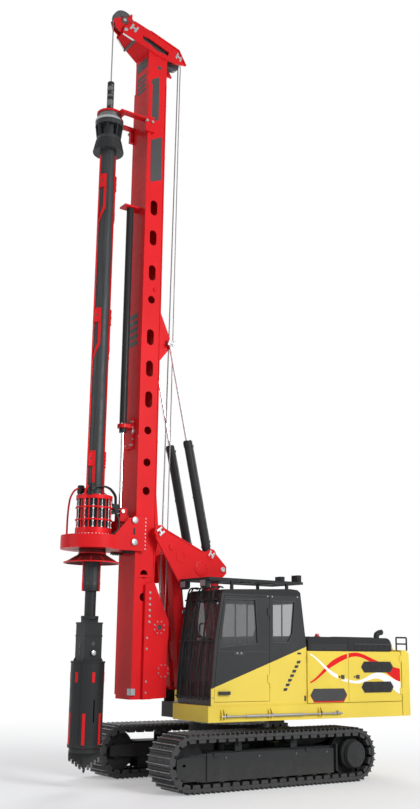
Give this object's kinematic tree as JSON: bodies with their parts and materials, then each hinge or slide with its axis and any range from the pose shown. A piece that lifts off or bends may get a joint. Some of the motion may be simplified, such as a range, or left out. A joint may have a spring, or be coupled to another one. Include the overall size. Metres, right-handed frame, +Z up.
{
  "type": "rotary piling rig",
  "caption": "Compact rotary piling rig on tracks, with a tilting mast on a luffing parallelogram, crowd-driven rotary head, telescoping kelly bar and drilling bucket.",
  "frame": {"origin": "on the ground under the slewing axis, midway between the tracks, which is within 70 mm of the bounding box's bottom centre", "axes": "+X forward to the mast, +Y to the cab side, +Z up the slewing axis"},
  "size_m": [6.1458, 2.62, 12.87],
  "materials": {
    "red_paint": "smooth semi-gloss red coat",
    "yellow_paint": "smooth gloss yellow coat",
    "counterweight_yellow": "gloss yellow coat over a casting",
    "black_paint": "satin black coat",
    "kelly_black": "satin dark coat with worn steel edges",
    "chassis_grey": "matt dark grey coat",
    "track_steel": "dark rolled steel, worn on the lugs",
    "pale_steel": "machined steel",
    "bright_steel": "bright plated steel",
    "chrome_rod": "hard chrome, polished",
    "sheave_grey": "dark grey casting",
    "engine_grey": "plain cast block",
    "cab_glass": "tinted clear glass",
    "seat_fabric": "woven dark fabric",
    "black_plastic": "moulded matt plastic"
  },
  "bodies": {
    "undercarriage": {"car_body": "chassis_grey", "track_frames": "chassis_grey", "track_left": "track_steel", "track_right": "track_steel", "idlers": "chassis_grey", "sprockets": "chassis_grey", "rollers": "chassis_grey", "slewing_ring": "pale_steel"},
    "upper": {"platform": "yellow_paint", "counterweight": "counterweight_yellow", "house_frame": "yellow_paint", "house_roof": "black_paint", "engine": "engine_grey", "fuel_tank": "yellow_paint", "tool_box": "yellow_paint", "side_pipe": "bright_steel", "cab_shell": "black_paint", "cab_roof": "black_paint", "cab_windows": "cab_glass", "operator_seat": "seat_fabric", "console": "black_plastic", "roof_guard": "black_paint"},
    "house_door_left_front": {"house_door_left_front": "yellow_paint"},
    "house_door_left_rear": {"house_door_left_rear": "yellow_paint"},
    "house_door_right_front": {"house_door_right_front": "yellow_paint"},
    "house_door_right_rear": {"house_door_right_rear": "yellow_paint"},
    "hood": {"hood": "black_paint"},
    "tool_box_lid": {"tool_box_lid": "black_paint"},
    "cab_door": {"cab_door": "black_paint", "door_window": "cab_glass"},
    "luff_arm": {"luff_arm": "red_paint"},
    "rear_link": {"rear_link": "red_paint"},
    "luff_barrel": {"luff_barrel": "black_paint"},
    "luff_rod": {"luff_rod": "chrome_rod"},
    "support": {"support": "red_paint"},
    "mast_barrels": {"mast_barrels": "black_paint"},
    "mast_rods": {"mast_rods": "chrome_rod"},
    "mast": {"mast": "red_paint", "mast_head": "red_paint", "winch_housing": "red_paint", "crowd_barrel": "black_paint"},
    "front_sheave": {"front_sheave": "sheave_grey"},
    "rear_sheave": {"rear_sheave": "sheave_grey"},
    "main_winch_drum": {"main_winch_drum": "sheave_grey"},
    "auxiliary_winch_drum": {"auxiliary_winch_drum": "sheave_grey"},
    "carriage": {"carriage": "red_paint", "drive_guard": "red_paint", "gearbox": "red_paint", "drive_motors": "black_paint", "crowd_rod": "chrome_rod"},
    "drive_sleeve": {"drive_sleeve": "red_paint"},
    "kelly_guide": {"kelly_guide": "red_paint", "swivel": "bright_steel"},
    "kelly_outer": {"kelly_outer": "kelly_black"},
    "kelly_inner": {"kelly_inner": "kelly_black", "bucket": "kelly_black", "kelly_pin": "bright_steel"},
    "bucket_gate": {"bucket_gate": "kelly_black"}
  },
  "joints": [
    {"name": "slewing", "type": "hinge", "parent": "undercarriage", "child": "upper", "pos_m": [0, 0, 0.955], "axis": [0, 0, 1], "continuous": true},
    {"name": "cab_door_hinge", "type": "hinge", "parent": "upper", "child": "cab_door", "pos_m": [0.115, 1.232, 2], "axis": [0, 0, 1], "range_deg": [0, 165]},
    {"name": "house_door_left_front_hinge", "type": "hinge", "parent": "upper", "child": "house_door_left_front", "pos_m": [-0.613, 1.257, 1.6], "axis": [0, 0, 1], "range_deg": [-110, 0]},
    {"name": "house_door_left_rear_hinge", "type": "hinge", "parent": "upper", "child": "house_door_left_rear", "pos_m": [-2.624, 1.257, 1.6], "axis": [0, 0, 1], "range_deg": [0, 110]},
    {"name": "house_door_right_front_hinge", "type": "hinge", "parent": "upper", "child": "house_door_right_front", "pos_m": [-0.613, -1.257, 1.6], "axis": [0, 0, 1], "range_deg": [0, 110]},
    {"name": "house_door_right_rear_hinge", "type": "hinge", "parent": "upper", "child": "house_door_right_rear", "pos_m": [-2.624, -1.257, 1.6], "axis": [0, 0, 1], "range_deg": [-110, 0]},
    {"name": "hood_hinge", "type": "hinge", "parent": "upper", "child": "hood", "pos_m": [-1.464, 0, 2.206], "axis": [0, 1, 0], "range_deg": [0, 60]},
    {"name": "tool_box_lid_hinge", "type": "hinge", "parent": "upper", "child": "tool_box_lid", "pos_m": [0.085, -0.34, 1.676], "axis": [-1, 0, 0], "range_deg": [0, 80]},
    {"name": "luff", "type": "hinge", "parent": "upper", "child": "luff_arm", "pos_m": [1, 0, 1.45], "axis": [0, 1, 0], "range_deg": [0, 18]},
    {"name": "rear_link_foot", "type": "hinge", "parent": "upper", "child": "rear_link", "pos_m": [0.201, 0, 1.287], "axis": [0, 1, 0], "range_deg": [0, 18]},
    {"name": "support_level", "type": "hinge", "parent": "luff_arm", "child": "support", "pos_m": [1.215, 0, 3.395], "axis": [0, 1, 0], "range_deg": [-18, 0]},
    {"name": "luff_barrel_foot", "type": "hinge", "parent": "upper", "child": "luff_barrel", "pos_m": [-0.45, 0, 1.33], "axis": [0, 1, 0], "range_deg": [0, 7.03]},
    {"name": "luff_rod_stroke", "type": "slide", "parent": "luff_barrel", "child": "luff_rod", "axis": [0.7695, 0, 0.6386], "range_m": [0, 0.2391]},
    {"name": "mast_tilt", "type": "hinge", "parent": "support", "child": "mast", "pos_m": [1.61, 0, 3.76], "axis": [0, 1, 0], "range_deg": [-90, 5]},
    {"name": "mast_barrel_foot", "type": "hinge", "parent": "support", "child": "mast_barrels", "pos_m": [0.64, 0, 3.46], "axis": [0, 1, 0], "range_deg": [-99.89, 5.6]},
    {"name": "mast_rod_stroke", "type": "slide", "parent": "mast_barrels", "child": "mast_rods", "axis": [0.2253, 0, 0.9743], "range_m": [-1.3587, 0.0774]},
    {"name": "crowd", "type": "slide", "parent": "mast", "child": "carriage", "axis": [0, 0, -1], "range_m": [-0.9, 0.95]},
    {"name": "drive_spin", "type": "hinge", "parent": "carriage", "child": "drive_sleeve", "pos_m": [2.576, 0, 3.6], "axis": [0, 0, 1], "continuous": true},
    {"name": "kelly_hoist", "type": "slide", "parent": "mast", "child": "kelly_guide", "axis": [0, 0, -1], "range_m": [-0.4, 4.7]},
    {"name": "kelly_spin", "type": "hinge", "parent": "kelly_guide", "child": "kelly_outer", "pos_m": [2.576, 0, 6], "axis": [0, 0, 1], "continuous": true},
    {"name": "kelly_telescope", "type": "slide", "parent": "kelly_outer", "child": "kelly_inner", "axis": [0, 0, -1], "range_m": [0, 5.5]},
    {"name": "bucket_gate_hinge", "type": "hinge", "parent": "kelly_inner", "child": "bucket_gate", "pos_m": [2.576, -0.285, 0.604], "axis": [-1, 0, 0], "range_deg": [0, 80]},
    {"name": "main_winch", "type": "hinge", "parent": "mast", "child": "main_winch_drum", "pos_m": [1.517, 0, 2.303], "axis": [0, 1, 0], "continuous": true},
    {"name": "auxiliary_winch", "type": "hinge", "parent": "mast", "child": "auxiliary_winch_drum", "pos_m": [1.43, 0, 1.657], "axis": [0, 1, 0], "continuous": true},
    {"name": "front_sheave_spin", "type": "hinge", "parent": "mast", "child": "front_sheave", "pos_m": [2.39, 0, 12.67], "axis": [0, 1, 0], "continuous": true},
    {"name": "rear_sheave_spin", "type": "hinge", "parent": "mast", "child": "rear_sheave", "pos_m": [1.385, 0, 12.205], "axis": [0, 1, 0], "continuous": true}
  ],
  "couplings": [
    {"joint": "rear_link_foot", "follows": "luff", "ratio": 1},
    {"joint": "support_level", "follows": "luff", "ratio": -1},
    {"joint": "luff_barrel_foot", "follows": "luff", "ratio": 0.39002},
    {"joint": "luff_rod_stroke", "follows": "luff", "m_per_rad": 0.75948},
    {"joint": "mast_barrel_foot", "follows": "mast_tilt", "ratio": 1.1093},
    {"joint": "mast_rod_stroke", "follows": "mast_tilt", "m_per_rad": 0.86372},
    {"joint": "drive_spin", "follows": "kelly_spin", "ratio": 1}
  ]
}
